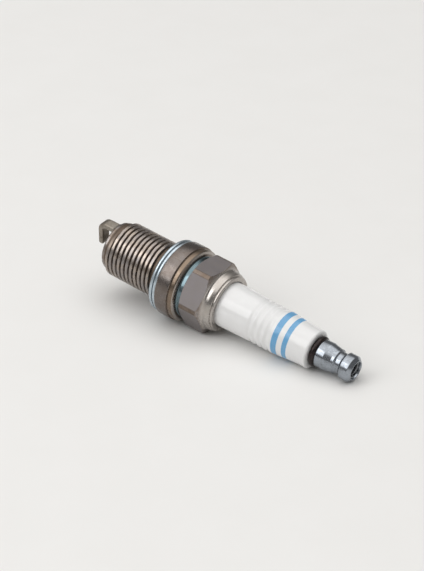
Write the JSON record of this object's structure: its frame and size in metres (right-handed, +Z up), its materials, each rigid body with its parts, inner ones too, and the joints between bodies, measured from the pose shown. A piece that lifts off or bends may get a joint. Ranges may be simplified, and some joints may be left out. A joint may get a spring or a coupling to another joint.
{
  "type": "spark plug",
  "caption": "Spark plug with a threaded shell, captive gasket, hexagon, white ribbed ceramic insulator, electrodes and a screwed terminal nut.",
  "frame": {"origin": "middle of the lowest plane of the box, where the plug lies on the floor", "axes": "+X along the plug's length towards the terminal, +Y across it, +Z up; the plug's own axis lies in the XZ plane and dips 7.463 degrees towards the terminal"},
  "size_m": [0.0744, 0.0188, 0.019],
  "materials": {
    "shell_nickel": "nickel plated, satin, slightly tarnished",
    "gasket_zinc": "zinc plated, bright",
    "electrode_nickel": "nickel alloy, dull",
    "ceramic": "white glaze with two blue bands",
    "washer_steel": "plain",
    "ring_steel": "plain wire",
    "talc": "pressed powder",
    "copper": "copper",
    "seal_glass": "fused copper glass, opaque",
    "resistor_body": "matt",
    "stud_steel": "heat-darkened steel",
    "nut_zinc": "zinc plated, bright"
  },
  "bodies": {
    "plug": {"metal_shell": "shell_nickel", "ground_electrode": "electrode_nickel", "insulator": "ceramic", "packing_washer": "washer_steel", "lower_wire_ring": "ring_steel", "talc_packing": "talc", "upper_wire_ring": "ring_steel", "center_electrode": "electrode_nickel", "center_electrode_core": "copper", "lower_glass_seal": "seal_glass", "resistor": "resistor_body", "upper_glass_seal": "seal_glass", "terminal_stud": "stud_steel"},
    "gasket_ring": {"gasket": "gasket_zinc"},
    "nut": {"terminal_nut": "nut_zinc"}
  },
  "joints": [
    {"name": "terminal_nut_off", "type": "slide", "parent": "plug", "child": "nut", "axis": [0.9915, 0, -0.1299], "range_m": [0, 0.014]},
    {"name": "gasket_play", "type": "slide", "parent": "plug", "child": "gasket_ring", "axis": [-0.9915, 0, 0.1299], "range_m": [0, 0.0008]}
  ]
}
